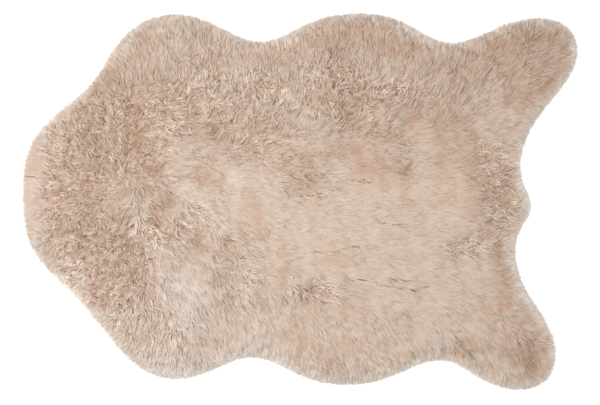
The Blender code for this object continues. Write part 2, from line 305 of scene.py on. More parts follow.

# Where the fur is darker or lighter: partly its own tone, partly painted light and shade where the nap
# faces towards and away from the light, where it parts, and along rims turned from the key light. A
# strong dark patch also parts it
toneAndLightPatches = {
    "head": [
        (112, 175, 105, 42, -0.25, 88), (104, 80, 20, 12, -0.75, 50), (93, 130, 17, 10, -0.42, 95),
        (98, 160, 20, 8, -0.45, 90), (156, 171, 12, 8, -0.5, 80), (142, 190, 10, 6, -0.35, -10),
        (160, 212, 17, 9, -0.8, 50), (81, 217, 7, 6, -0.6, 90), (78, 233, 7, 6, -0.6, 90),
        (82, 248, 12, 6, -0.75, 82), (55, 195, 9, 8, -0.6), (59, 228, 13, 8, -0.45, 60),
        (114, 236, 16, 7, -0.45, 10), (98, 285, 26, 7, -0.85, 80), (186, 192, 24, 8, 0.85, -42),
        (83, 266, 18, 12, 0.95, -40), (100, 303, 8, 8, -0.45), (160, 226, 8, 6, -0.9),
        (73, 276, 10, 8, 0.55, -45), (53, 138, 11, 15, 0.6), (40, 238, 8, 10, 0.4), (66, 215, 7, 7, 0.4),
        (112, 192, 7, 9, 0.4), (113, 191, 8, 6, 0.6, -30), (28, 168, 8, 18, -0.4),
        (124, 190, 7, 8, -0.45), (156, 170, 9, 8, -0.25), (58, 120, 34, 9, -0.05, 45),
        (40, 205, 52, 14, -0.05, 90), (80, 290, 46, 12, 0.5, -48), (80, 208, 20, 30, -0.35),
        (66, 178, 8, 8, -0.75), (55, 231, 10, 10, -0.75), (89, 198, 9, 8, -0.55), (90, 120, 9, 11, -0.8),
        (166, 205, 12, 8, -0.35), (27, 195, 8, 75, -0.35), (84, 97, 26, 10, -0.5, 40),
        (48, 262, 14, 9, -0.6, -45), (106, 183, 7, 8, -0.6), (116, 195, 6, 5, 0.6), (70, 192, 7, 6, 0.6),
        (40, 190, 7, 9, 0.4), (61, 214, 9, 6, 0.6, -20), (81, 237, 11, 10, -0.55), (100, 272, 9, 8, -0.6),
        (116, 262, 12, 8, 0.5, -20), (101, 82, 10, 12, -0.45, 45), (38, 148, 8, 14, -0.45, 20),
        (55, 191, 7, 10, -0.5), (121, 191, 8, 7, -0.45), (118, 210, 9, 8, -0.4),
        (112, 231, 11, 6, -0.4, 20), (82, 251, 6, 9, -0.45), (92, 190, 16, 70, -0.45),
    ],
    "neck": [
        (134, 122, 34, 8, -0.65, 88), (121, 89, 9, 7, -0.45, 90), (131, 264, 30, 13, -0.12, 90),
        (122, 303, 8, 6, -0.3), (146, 143, 8, 8, -0.2), (161, 240, 15, 8, 0.85, -30),
        (140, 225, 9, 11, 1.25), (130, 178, 8, 14, 0.55), (134, 205, 8, 12, 0.85), (156, 254, 9, 16, 1.0),
        (150, 115, 10, 8, 0.4), (126, 317, 14, 16, 0.85), (114, 296, 9, 10, 0.7), (163, 141, 7, 9, 0.6),
        (108, 325, 26, 14, 0.2, -50), (139, 98, 12, 9, -0.85), (137, 136, 8, 22, -0.7),
        (150, 168, 8, 10, -0.75), (118, 178, 16, 8, 0.45, -35), (127, 352, 12, 8, -0.4, -45),
        (139, 223, 7, 12, 1.0, -10), (140, 262, 14, 7, -0.35, -30), (148, 143, 8, 10, -0.65),
        (133, 120, 6, 10, -0.4), (141, 226, 5, 8, 0.6), (130, 233, 7, 8, -0.6, -30),
        (131, 359, 8, 6, -0.6, -40), (139, 130, 9, 42, -0.5),
    ],
    "shoulders and forelegs": [
        (198, 238, 11, 9, -1.0, -50), (228, 248, 12, 8, -0.45), (148, 46, 18, 12, -0.45, 60),
        (158, 82, 9, 8, -0.6), (194, 50, 13, 4, -0.65, 90), (215, 67, 19, 5, -0.6, 105),
        (181, 104, 16, 12, -0.28), (192, 126, 10, 9, -0.8), (200, 140, 12, 8, -0.45),
        (164, 126, 17, 8, 0.7, -25), (186, 158, 30, 12, 0.1, -10), (200, 179, 12, 7, -0.4),
        (235, 175, 14, 9, 0.85, -60), (216, 220, 18, 12, 0.6, -40), (184, 238, 8, 8, 0.5),
        (198, 214, 8, 12, 0.75), (208, 171, 16, 12, -0.35), (201, 325, 8, 10, 0.4),
        (168, 373, 32, 9, 0.55), (180, 132, 8, 7, 0.8), (178, 221, 9, 8, 0.8), (203, 76, 9, 17, 0.85),
        (179, 294, 30, 20, 0.88, -75), (180, 332, 16, 14, 0.85), (162, 358, 36, 18, 0.7),
        (211, 184, 12, 8, -0.25), (238, 228, 7, 8, -0.45), (160, 86, 10, 6, -0.35),
        (215, 30, 16, 8, -0.6, -25), (186, 114, 10, 9, -0.6, -45), (221, 213, 6, 18, 0.4),
        (226, 238, 7, 6, 0.6), (180, 222, 8, 6, 0.4), (206, 290, 11, 12, 0.45), (164, 172, 8, 7, -0.4),
        (166, 190, 7, 8, -0.4), (178, 241, 8, 7, -0.4), (206, 112, 7, 12, -0.35, 20),
        (175, 325, 45, 25, 0.22), (203, 61, 6, 7, 0.45),
    ],
    "back": [
        (214, 130, 12, 9, -1.05, -30), (263, 128, 20, 11, -0.5), (275, 117, 6, 5, -0.45),
        (248, 158, 17, 6, -0.4, -25), (308, 173, 23, 21, -0.45), (300, 184, 10, 8, -0.35),
        (268, 195, 20, 11, 0.15, -75), (219, 98, 11, 9, 0.8), (256, 220, 6, 26, -0.45),
        (247, 180, 8, 6, -0.3), (311, 212, 5, 18, -0.3), (280, 285, 7, 20, -0.2),
        (302, 242, 30, 6, 0.35, 90), (311, 122, 18, 8, 0.4, 90), (250, 195, 8, 12, -0.3),
        (217, 143, 7, 6, -0.5), (258, 155, 9, 6, -0.35, -30), (281, 150, 8, 16, -0.25),
        (264, 145, 14, 6, 0.45, -20), (281, 164, 11, 9, -0.3), (243, 150, 8, 6, -0.4),
        (229, 134, 7, 8, 0.4),
    ],
    "loin": [
        (346, 114, 12, 8, -1.15, -45), (361, 92, 11, 6, -0.45), (389, 103, 12, 5, -0.3),
        (340, 150, 20, 9, -0.5), (356, 138, 9, 22, -0.35), (339, 169, 12, 10, 0.4),
        (334, 260, 18, 7, -0.3), (369, 105, 12, 7, 0.45), (352, 308, 16, 8, -0.25), (312, 70, 9, 7, -0.4),
        (307, 114, 6, 12, -0.4), (334, 122, 11, 9, 0.45, -40), (322, 100, 14, 7, -0.7),
        (372, 92, 12, 7, -0.35), (312, 126, 5, 18, -0.3, -10), (365, 112, 34, 18, -0.28, -20),
        (307, 93, 7, 10, 0.4),
    ],
    "flanks and belly": [
        (259, 88, 8, 6, -0.45), (236, 106, 11, 7, -0.38), (267, 54, 26, 13, -0.5),
        (337, 76, 26, 11, -0.2, 90), (335, 54, 11, 9, -0.5), (370, 35, 38, 17, -0.5),
        (327, 36, 26, 11, -0.55), (394, 52, 24, 10, -0.45), (312, 294, 11, 9, -0.5),
        (329, 365, 14, 10, -0.6), (301, 338, 12, 5, -0.5, 90), (283, 334, 12, 10, -0.25),
        (229, 276, 22, 5, -0.25, 80), (262, 236, 10, 7, -0.35, 60), (285, 269, 20, 5, -0.45, 85),
        (266, 310, 9, 8, -0.35), (303, 48, 12, 10, -0.4), (342, 347, 36, 11, -0.25),
        (280, 362, 22, 7, 0.8, -22), (325, 379, 32, 7, 0.3), (323, 174, 9, 8, 0.35),
        (325, 288, 13, 9, 0.85), (294, 290, 9, 9, 1.2), (256, 338, 22, 12, 0.3), (248, 278, 9, 34, 0.85),
        (246, 80, 16, 11, 0.42), (284, 97, 20, 8, 0.75), (326, 70, 20, 11, 0.55),
        (213, 268, 7, 12, 0.55, 20), (312, 315, 12, 7, -0.25), (298, 366, 8, 7, -0.5),
        (268, 43, 26, 6, 0.75), (394, 370, 22, 6, 0.5, 20), (299, 30, 20, 9, 1.3, 25),
        (355, 17, 26, 6, 0.45), (250, 357, 40, 7, 0.5, 8), (287, 93, 8, 6, -0.35), (275, 312, 9, 9, 0.45),
        (226, 352, 18, 9, 0.5, 15), (213, 91, 14, 6, 0.4), (237, 100, 8, 6, -0.45),
        (263, 92, 10, 6, -0.4), (287, 93, 6, 6, -0.4), (327, 22, 16, 6, -0.35), (333, 59, 13, 6, -0.4),
        (320, 362, 20, 12, 0.35), (252, 312, 14, 16, 0.3), (335, 30, 12, 9, 0.28),
        (372, 352, 9, 14, 0.32),
    ],
    "haunches": [
        (411, 87, 5, 8, -0.45), (425, 60, 30, 18, -0.35), (450, 124, 24, 38, -0.48),
        (468, 66, 22, 24, -0.42), (472, 165, 34, 9, -0.45, 88), (506, 74, 9, 16, -0.35),
        (492, 58, 11, 14, -0.5), (498, 316, 24, 16, -0.46, -30), (465, 345, 12, 8, -0.65),
        (488, 40, 18, 8, -0.7, -15), (400, 90, 13, 7, 0.8, -30), (400, 353, 9, 6, -0.4),
        (393, 86, 8, 6, 0.45), (435, 135, 8, 8, -0.35), (506, 47, 8, 7, -0.4), (422, 34, 26, 9, 1.6, -30),
        (412, 364, 24, 6, 0.5, 18), (513, 89, 13, 8, 0.5), (468, 43, 14, 7, -0.6, 25),
        (395, 86, 8, 7, 0.5), (411, 85, 6, 6, -0.45), (433, 340, 14, 14, 0.32),
        (450, 358, 10, 7, -0.7, -25), (467, 172, 6, 18, -0.3), (500, 318, 12, 10, 0.4),
        (412, 99, 9, 8, 0.5),
    ],
    "rump": [
        (384, 134, 18, 8, -0.5), (370, 166, 25, 17, -0.58), (404, 172, 8, 6, -0.6, 90),
        (414, 110, 11, 17, -0.6), (504, 178, 9, 13, -0.7), (490, 194, 10, 8, -0.8),
        (502, 205, 9, 7, -0.7), (485, 233, 12, 8, -0.45), (476, 206, 12, 12, -0.35),
        (457, 246, 12, 7, -0.6, 10), (495, 251, 11, 7, -0.7), (504, 282, 24, 12, -0.6, 90),
        (440, 168, 9, 18, -0.4), (402, 165, 10, 18, -0.25), (489, 180, 8, 8, -0.4),
        (472, 251, 14, 8, 0.7), (524, 284, 36, 10, 1.3, -68), (521, 165, 22, 7, 0.8, 100),
        (436, 215, 14, 10, 0.15), (404, 204, 12, 7, -0.35), (446, 200, 14, 8, -0.25),
        (398, 246, 12, 5, -0.3), (410, 123, 9, 8, -0.5), (523, 185, 24, 7, 0.55, 90),
        (384, 157, 9, 8, 0.35), (397, 140, 9, 14, -0.4), (521, 172, 9, 5, 0.5, 80),
        (398, 174, 8, 7, -0.35), (502, 190, 10, 26, -0.4), (494, 264, 9, 18, -0.35),
    ],
    "hind legs": [
        (538, 60, 42, 32, -0.42, 20), (526, 39, 17, 10, -0.6), (552, 46, 14, 12, -0.3, -30),
        (545, 85, 14, 9, -0.5, 50), (518, 96, 22, 15, -0.62), (534, 356, 31, 12, -0.8, 82),
        (508, 352, 13, 16, -0.45), (572, 55, 20, 7, 0.75, 100), (524, 317, 10, 8, -0.4),
        (508, 387, 20, 7, 0.7), (549, 372, 8, 8, 0.5), (570, 66, 6, 10, 0.5), (541, 345, 8, 10, 0.45),
        (522, 352, 7, 22, -0.35), (561, 72, 8, 12, -0.45),
    ],
}

# Where the fur is unruly or smooth
strayPatches = {
    "unruly": [
        (100, 205, 120, 62, 0.55, 90), (105, 132, 50, 32, 0.45), (180, 105, 62, 34, 0.5, 10),
        (112, 265, 45, 42, 0.45), (180, 225, 40, 22, 0.35, 30), (262, 90, 22, 16, 0.5),
        (258, 128, 46, 34, 0.3), (205, 60, 30, 25, 0.25), (340, 98, 36, 46, 0.65, 60),
        (398, 95, 26, 14, 0.45), (392, 150, 16, 26, 0.22, 20), (474, 158, 16, 14, 0.35),
        (495, 200, 24, 58, 0.38), (458, 248, 20, 12, 0.35), (300, 170, 42, 26, 0.2),
        (314, 291, 32, 11, 0.45), (232, 268, 26, 46, 0.32, 20), (165, 325, 45, 34, 0.25),
        (458, 348, 18, 12, 0.35), (530, 340, 20, 20, 0.15), (532, 60, 24, 34, 0.15),
        (172, 165, 42, 26, 0.16), (235, 145, 34, 22, 0.16), (448, 100, 40, 50, 0.1),
    ],
    "smooth": [
        (127, 200, 15, 24, -0.4, 15), (157, 248, 9, 14, -0.3), (80, 268, 16, 10, -0.35, -40),
        (36, 195, 12, 60, -0.3),
    ],
}

# Painted shadow: thin dark lines where the smooth pile falls apart
creaseLines = {
    "head": [(25, 176, 60, 177, 1)],
    "back": [(301, 193, 323, 196, 1), (349, 179, 371, 183, 1)],
    "loin": [(373, 220, 403, 225, 1), (407, 226, 415, 228, 0)],
    "belly": [(335, 252, 358, 247, -1), (311, 253, 319, 252, 0), (311, 278, 321, 278, 0)],
    "flank": [(350, 280, 378, 281, -1), (391, 277, 410, 281, 1), (384, 285, 424, 289, 2)],
    "loin arc": [(377, 102, 391, 93, -2), (391, 93, 406, 98, -2)],
}

comb = {
    "strokeReach": 0.16,  # metres over which one stroke holds
    "strokeFall": 2.2,
    "strokeLeast": 1e-6,
    "rimReach": 0.085,  # metres in from the edge over which the fur turns outwards
    "rimPull": 1.2,
    "partingFrom": -0.42,  # the least dark patch that parts the fur
    "partingPush": 0.60,  # and how strongly
    "partingCore": 0.012,
    "upright": 0.22,  # how readily the fur stands up where it parts
    "riseMiddle": 0.065,  # upward share of a lock's direction on top
    "riseStray": 0.23,
    "riseRim": -0.10,
    "edgeOut": 0.036,  # metres from the ring to the fur's own edge
    "rimWidth": 0.03,  # metres over which the fur hangs over the edge, and fades into the top
    "rimCalm": 0.75,
    "bareBelow": 0.004,
    # weight of the patches: the fur's own tone with painted light and shade
    "patchToneAndLight": 0.30,
    # painted light along the rim, where the tips hang over the edge and get less light
    "rimLight": 0.88,
    "rimLightStart": 0.026,
    "rimLightReach": 0.025,
    "unrulyRise": 1.8,
    "unrulyTone": 0.42,  # the one tone that unruly locks keep to
    "unrulyHold": 0.88,  # and how much they do
    "seenAhead": 0.034,  # metres from a lock's root to the part of it that is seen
    "baseTone": 0.44,
    "mottle": 0.08,
    "mottleSize": 0.06,
    "mottleLayer": 3.0,
    "sharpness": 1.6,  # of the patches' edges
    "wander": 0.013,  # metres by which the patches' edges wander
    "wanderSize": 0.06,
    "wanderSeed": 3,
    "wanderFine": 2.7,
    "wanderFineShare": 0.5,
    "calm": 0.10,
    "strayMottle": 1.1,
    "strayMottleSize": 0.05,
    "strayMottleLayer": 7.0,
    "strayMost": 0.85,
    "creaseStep": 0.01,
    "creaseAhead": 0.045,
}


def patchWeights(places, one):
    centre = onRug(one.x, one.y)
    turn = math.radians(one.turn)
    dx, dy = places[:, 0] - centre[0], places[:, 1] - centre[1]
    along = (dx * math.cos(turn) + dy * math.sin(turn)) / (one.halfLong * perPixel)
    across = (dy * math.cos(turn) - dx * math.sin(turn)) / (one.halfWide * perPixel)
    return np.exp(-((along**2 + across**2) ** comb["sharpness"])), dx, dy


def wandering(places):  # the same places, moved about so that patches lose their plain ovals
    noise.seed_set(comb["wanderSeed"])  # the same in each run
    moved = []
    for x, y in places:
        at = Vector((x, y, 0)) / comb["wanderSize"]
        fine = noise.noise_vector(at * comb["wanderFine"])
        dx, dy, _ = noise.noise_vector(at) + comb["wanderFineShare"] * fine
        moved.append((x + dx * comb["wander"], y + dy * comb["wander"]))
    return np.array(moved)


def mottled(places, size, layer):
    return np.array([noise.noise(Vector((x / size, y / size, layer))) for x, y in places])


def furTonesAndLight(places, fromEdge):
    tones = np.full(len(places), comb["baseTone"])
    # the patches: the fur's own tone, with painted light and shade
    for one in marks(patch, toneAndLightPatches):
        tones += comb["patchToneAndLight"] * one.change * patchWeights(places, one)[0]
    # painted light along the rim
    fromRim = np.maximum(fromEdge - comb["rimLightStart"], 0)
    tones += comb["rimLight"] * np.exp(-fromRim / comb["rimLightReach"])
    return tones + comb["mottle"] * mottled(places, comb["mottleSize"], comb["mottleLayer"])


def furFlow(places, fromEdge, edgeWay):  # flat unit directions in which the tips point
    flow = np.zeros_like(places)
    total = np.zeros(len(places))
    for one in marks(stroke, combStrokes):
        centre = onRug(one.x, one.y)
        far = ((places - centre) ** 2).sum(axis=1) / comb["strokeReach"] ** 2
        weight = np.exp(-comb["strokeFall"] * far) + comb["strokeLeast"]
        turn = math.radians(one.towards)
        flow += weight[:, None] * (math.cos(turn), math.sin(turn))
        total += weight
    flow /= total[:, None]
    for one in marks(patch, toneAndLightPatches):
        if one.change < comb["partingFrom"]:
            weight, dx, dy = patchWeights(places, one)
            away = np.stack((dx, dy), axis=1)
            away /= np.linalg.norm(away, axis=1)[:, None] + comb["partingCore"]
            flow += comb["partingPush"] * -one.change * weight[:, None] * away
    rim = np.exp(-((fromEdge / comb["rimReach"]) ** 2))[:, None]
    flow = flow * (1 - rim) + edgeWay * rim * comb["rimPull"]
    return flow / (np.linalg.norm(flow, axis=1)[:, None] + comb["upright"])


def strayShare(places):  # how unruly the pile is: most at the head, least where it is smooth
    shares = np.full(len(places), comb["calm"])
    for one in marks(patch, strayPatches):
        shares += one.change * patchWeights(places, one)[0]
    mottle = mottled(places, comb["strayMottleSize"], comb["strayMottleLayer"])
    return np.clip(shares * (1 + comb["strayMottle"] * mottle), 0, comb["strayMost"])


# Backing cloth
backing = {"thick": 0.0028, "proud": 0.004, "step": 0.022, "spacing": 0.09, "seed": 5}


def makeBacking(ring):
    edge = ring + outwards(ring) * backing["proud"]
    inner = looseGrid(edge, backing["spacing"], backing["spacing"] / 2, backing["seed"])
    heights = [np.full(len(edge), high) for high in (0.0, backing["thick"])]
    topHeights = [backing["thick"]] * len(inner)
    piece = closedBody("backingCloth", [edge, edge], heights, inner, topHeights, inner)
    ahead = np.roll(edge, -1, axis=0)
    area = abs((edge[:, 0] * ahead[:, 1] - edge[:, 1] * ahead[:, 0]).sum()) / 2
    size = edge.max(axis=0) - edge.min(axis=0)
    return piece, (size[1], size[0]), area


# Underfur: the dense short wool under the pile, which shows in the partings
underfur = {
    "step": 0.016,
    "spacing": 0.015,
    "sink": 0.014,  # below the pile's top
    # Outwards from the foot's edge, and height, from the floor up
    "levels": [(0.002, 0.0034), (0.01, 0.0065), (0.012, 0.0115), (0.007, 0.0165), (-0.004, 0.0205)],
    "shoulder": 0.05,  # metres in from the last level over which the top rises to its height
    "lump": 0.0022,
    "lumpSize": 0.035,
    "margin": 0.45,  # share of the spacing that stays clear along the edge
    "seed": 6,
}


def makeUnderfur(ring):
    normals = outwards(ring)
    rings = [ring + normals * out for out, _ in underfur["levels"]]
    heights = [np.full(len(ring), high) for _, high in underfur["levels"]]
    margin = underfur["spacing"] * underfur["margin"]
    inner = looseGrid(rings[-1], underfur["spacing"], margin, underfur["seed"])
    corners = [vert.co for vert in cadRug.data.vertices]
    faces = [tuple(face.vertices) for face in cadRug.data.polygons]
    surface = BVHTree.FromPolygons(corners, faces)
    crest = underfur["levels"][-1][1]
    fromCrest = toRing(rings[-1], inner)[0]
    topHeights = []
    for (x, y), far in zip(inner, fromCrest):
        hit = surface.ray_cast(Vector((x, y, 1)), Vector((0, 0, -1)))[0]
        lump = noise.noise(Vector((x, y, 0)) / underfur["lumpSize"]) * underfur["lump"]
        share = min(far / underfur["shoulder"], 1)
        topHeights.append(crest + (hit.z - underfur["sink"] - crest) * share + lump)
    return closedBody("underfur", rings, heights, inner, topHeights, rings[0][:0])


napNames = ["nap", "tone", "lift", "stray", "unruly", "fringe", "grows"]


def keepNumbers(data, values):  # one number for each point, under each name
    for name, column in values.items():
        attribute = data.attributes.new(name, "FLOAT", "POINT")
        attribute.data.foreach_set("value", np.array(column, np.float32))


def setNap(piece, ring):  # the pile's direction, tone and unruliness, kept on the points
    data = piece.data
    coords = np.empty(len(data.vertices) * 3, np.float32)
    data.vertices.foreach_get("co", coords)
    coords = coords.reshape(-1, 3).astype(float)
    places = coords[:, :2]
    edge = ring + outwards(ring) * comb["edgeOut"]
    fromEdge, nearest = toRing(edge, places)
    edgeWay = outwards(edge)[nearest]
    rim = np.exp(-((np.maximum(fromEdge / comb["rimWidth"] - 1, 0)) ** 2))
    flow = furFlow(places, fromEdge, edgeWay)
    seen = wandering(places + flow * comb["seenAhead"])
    stray = strayShare(places) * (1 - comb["rimCalm"] * rim)
    riseTop = comb["riseMiddle"] + (comb["riseStray"] - comb["riseMiddle"]) * stray
    rise = riseTop * (1 - rim) + comb["riseRim"] * rim
    nap = np.concatenate((flow, rise[:, None]), axis=1)
    low = coords[:, 2] < comb["bareBelow"]
    tones = furTonesAndLight(seen, fromEdge)
    # Unruly locks keep to one tone; the rest of their patches' tone, painted light and shade included, is
    # kept as lift and moves their tips along the painted shade
    unruly = np.clip((stray - comb["calm"]) * comb["unrulyRise"], 0, 1)
    held = comb["unrulyHold"] * unruly
    values = {
        "tone": tones * (1 - held) + comb["unrulyTone"] * held,
        "lift": (tones - comb["unrulyTone"]) * unruly,
        "stray": stray,
        "unruly": unruly,
        "fringe": rim,
        "grows": np.where(low, 0.0, 1.0),
    }
    attribute = data.attributes.new("nap", "FLOAT_VECTOR", "POINT")
    attribute.data.foreach_set("vector", nap.astype(np.float32).ravel())
    keepNumbers(data, values)
    return places, flow


# The locks along these lines get a painted shadow
def makeCreases(places, flow):  # lines through the roots of the locks that will look dark
    verts = []
    edges = []
    for one in marks(crease, creaseLines):
        first, last = np.array(onRug(one.x0, one.y0)), np.array(onRug(one.x1, one.y1))
        count = max(2, round(np.linalg.norm(last - first) / comb["creaseStep"]))
        for i in range(count + 1):
            share = i / count
            place = first + (last - first) * share
            place[1] -= one.sag * perPixel * 4 * share * (1 - share)
            nearest = ((places - place) ** 2).sum(axis=1).argmin()
            x, y = place - flow[nearest] * comb["creaseAhead"]
            if i:
                edges.append((len(verts) - 1, len(verts)))
            verts.append((x, y, 0.0))
    data = bpy.data.meshes.new("creases")
    data.from_pydata(verts, edges, [])
    return bpy.data.objects.new("creases", data)


# Locks of hair: flat underneath, ridged on top, pointed at both ends, one metre long
lockShape = {
    "wide": 0.060,
    "ridges": [0.012, 0.014, 0.018, 0.022, 0.026, 0.030],
    "widest": 0.38,  # share of the length, from the root
    "rootHeight": -0.20,
    "archHeight": 0.06,
    "tipHeight": -0.02,
    "bends": [0.02, -0.03, 0.06, -0.08, 0.15, -0.17],  # sideways, the calmest first
}


def makeLockShape(name, bend, ridge):
    half, widest = lockShape["wide"] / 2, lockShape["widest"]
    high = lockShape["archHeight"]
    verts = [
        (0.0, 0.0, lockShape["rootHeight"]),
        (widest, bend - half, high),
        (widest, bend + half, high),
        (widest, bend, high + ridge),
        (1.0, 0.0, lockShape["tipHeight"]),
    ]
    faces = [(0, 1, 3), (0, 3, 2), (0, 2, 1), (4, 3, 1), (4, 2, 3), (4, 1, 2)]
    depths = [0.0, widest, widest, widest, 1.0]
    across = [0, -1, 1, 0, 0]
    mesh = bmesh.new()
    points = [mesh.verts.new(vert) for vert in verts]
    for face in faces:
        mesh.faces.new([points[i] for i in face])
    bmesh.ops.recalc_face_normals(mesh, faces=mesh.faces)
    for edge in mesh.edges:
        edge.smooth = points[3] in edge.verts
    data = bpy.data.meshes.new(name)
    mesh.to_mesh(data)
    mesh.free()
    keepNumbers(data, {"depth": depths, "across": across})
    return bpy.data.objects.new(name, data)


def makeLockShapes():
    shapes = bpy.data.collections.new("lockShapes")
    for number, (bend, ridge) in enumerate(zip(lockShape["bends"], lockShape["ridges"])):
        shapes.objects.link(makeLockShape(f"lockShape{number}", bend, ridge))
    return shapes


# The pile: a tree that grows locks on a surface, along its stored nap
pile = {
    "bands": ["pileHead", "pileNeck", "pileShoulders", "pileBack", "pileLoins", "pileLegs"],
    "seed": 4,
    "Density": 150000.0,
    "Gap": 0.0035,
    "Length": 0.066,
    "Length Spread": 0.25,
    "Stray Shortening": 0.34,
    "Fringe Length": 0.0278,
    "Top": 0.051,
    "Turn Size": 0.035,
    "Turn": 4.8,
    "Loose Ends": 0.20,
    "Clump Size": 0.016,
    "Clump Turn": 2.6,
    "Clump": 0.56,
    "Roll": 0.9,
    "Clump Tone": 0.12,
    "Clump Shade": 0.11,
    "Lock Tone": 0.135,
    # painted shadow: a share of dark locks that stands for the shadowed gaps between tufts
    "Dark Share": 0.23,
    "Dark Tone": 0.95,
    # Painted shade and light along the locks: Root Light keeps smooth roots out of the painted shade, Tip
    # Shade keeps smooth tips out of the painted light, and the shades below move each lock's tip along it
    "Root Light": 0.31,
    "Tip Shade": 0.56,
    "Lock Shade": 0.37,
    "Patch Shade": 0.37,
    # painted shadow along the crease lines
    "Crease Width": 0.002,
    "Crease Tone": 0.45,
    "middle": (0.5, 0.5, 0.5),  # of the noise's and the clumps' colours
    "turnRise": 0.35,  # how much of the turning is upwards
    "looseLow": (-1.0, -1.0, -0.5),
    "looseHigh": (1.0, 1.0, 0.9),
    "calmLoose": 0.06,  # how loose the smooth pile still is
    "ownTones": (-1.0, 0.4),
    "strayVaried": 0.10,  # how much the locks' own tones vary
    "calmVaried": 0.36,
    "ownShadeLow": -0.08,
    # painted light on the rim's tips: less tip shade there
    "fringeShade": -0.06,
    "calmKinds": 2.0,  # lock shapes that the smooth pile uses
    "kindsShort": 0.01,  # which keeps a shape's number below their count
    "lowest": 0.0008,  # metres over the floor
    "mapStart": 0.02,
    "mapShare": 0.96,
    "toneEnds": (0.004, 0.996),
    "shadeEnd": 0.99,
    "acrossTone": 0.003,  # a little width on the map, so that no face is a line there
    "acrossWay": 0.002,
}


def addNode(tree, kind, values=None, **settings):
    node = tree.nodes.new(kind)
    for name, value in settings.items():
        setattr(node, name, value)
    for key, value in (values or {}).items():
        if isinstance(value, bpy.types.NodeSocket):
            tree.links.new(value, node.inputs[key])
        else:
            node.inputs[key].default_value = value
    return node


def treeOf(values):  # the tree of the first socket among them
    return next(value.id_data for value in values if isinstance(value, bpy.types.NodeSocket))


def calc(operation, *values):
    tree = treeOf(values)
    node = addNode(tree, "ShaderNodeMath", dict(enumerate(values)), operation=operation)
    return node.outputs[0]


def vectorCalc(operation, *values):
    tree = treeOf(values)
    node = addNode(tree, "ShaderNodeVectorMath", dict(enumerate(values)), operation=operation)
    return node.outputs["Value" if operation == "LENGTH" else "Vector"]


def scaled(vector, scale):
    given = {0: vector, "Scale": scale}
    node = addNode(vector.id_data, "ShaderNodeVectorMath", given, operation="SCALE")
    return node.outputs["Vector"]


plus = partial(calc, "ADD")
minus = partial(calc, "SUBTRACT")
times = partial(calc, "MULTIPLY")
timesPlus = partial(calc, "MULTIPLY_ADD")
over = partial(calc, "DIVIDE")
least = partial(calc, "MINIMUM")
most = partial(calc, "MAXIMUM")
isBelow = partial(calc, "LESS_THAN")
vectorPlus = partial(vectorCalc, "ADD")
vectorMinus = partial(vectorCalc, "SUBTRACT")
vectorTimes = partial(vectorCalc, "MULTIPLY")


def stored(tree, name, kind="FLOAT"):
    node = addNode(tree, "GeometryNodeInputNamedAttribute", {"Name": name}, data_type=kind)
    return node.outputs["Attribute"]


def keep(geometry, name, value, kind="FLOAT", domain="POINT"):
    tree, store = geometry.id_data, "GeometryNodeStoreNamedAttribute"
    given = {"Geometry": geometry, "Name": name, "Value": value}
    return addNode(tree, store, given, data_type=kind, domain=domain).outputs[0]


def randomBetween(given, low, high, step):  # one number for each point
    seed = plus(given["Seed"], step)
    tree = seed.id_data
    node = addNode(tree, "FunctionNodeRandomValue", {"Seed": seed}, data_type="FLOAT")
    for socket, value in zip([s for s in node.inputs if s.enabled][:2], (low, high)):
        if isinstance(value, bpy.types.NodeSocket):
            tree.links.new(value, socket)
        else:
            socket.default_value = value
    return next(s for s in node.outputs if s.enabled)


def splitUp(vector):
    return addNode(vector.id_data, "ShaderNodeSeparateXYZ", {0: vector}).outputs


def joined(x, y, z=0.0):
    return addNode(x.id_data, "ShaderNodeCombineXYZ", {0: x, 1: y, 2: z}).outputs[0]


def pileInputs(tree):
    kinds = {"Geometry": "Geometry", "Locks": "Collection", "Fur": "Material"}
    kinds.update({"Creases": "Object", "Seed": "Int"})
    kinds.update({key: "Float" for key in pile if key[0].isupper()})
    for name, kind in kinds.items():
        tree.interface.new_socket(name, in_out="INPUT", socket_type="NodeSocket" + kind)
    return addNode(tree, "NodeGroupInput").outputs


def lockRoots(tree, given):
    kind = "GeometryNodeDistributePointsOnFaces"
    values = {
        "Mesh": given["Geometry"],
        "Distance Min": given["Gap"],
        "Density Max": given["Density"],
        "Density Factor": stored(tree, "grows"),
        "Seed": given["Seed"],
    }
    return addNode(tree, kind, values, distribute_method="POISSON").outputs["Points"]


def clumpCells(given, flatPlace):  # the clumps that the locks gather into
    values = {"Vector": flatPlace, "Scale": over(1.0, given["Clump Size"])}
    return addNode(flatPlace.id_data, "ShaderNodeTexVoronoi", values).outputs


def lockWay(tree, given, place, clumps, looser):  # the combed direction, made unruly
    stray = stored(tree, "stray")
    values = {"Vector": place, "Scale": over(1.0, given["Turn Size"]), "Detail": 1.0}
    swirl = addNode(tree, "ShaderNodeTexNoise", values).outputs["Color"]
    swirl = scaled(vectorMinus(swirl, pile["middle"]), times(given["Turn"], stray))
    ownTurn = vectorMinus(clumps["Color"], pile["middle"])
    ownTurn = scaled(ownTurn, times(given["Clump Turn"], stray))
    swirl = vectorTimes(vectorPlus(swirl, ownTurn), (1.0, 1.0, pile["turnRise"]))
    loose = addNode(
        tree,
        "FunctionNodeRandomValue",
        {0: pile["looseLow"], 1: pile["looseHigh"], "Seed": plus(given["Seed"], 1)},
        data_type="FLOAT_VECTOR",
    ).outputs[0]
    loose = scaled(loose, times(looser, given["Loose Ends"]))
    way = vectorPlus(vectorPlus(stored(tree, "nap", "FLOAT_VECTOR"), swirl), loose)
    return vectorCalc("NORMALIZE", way)


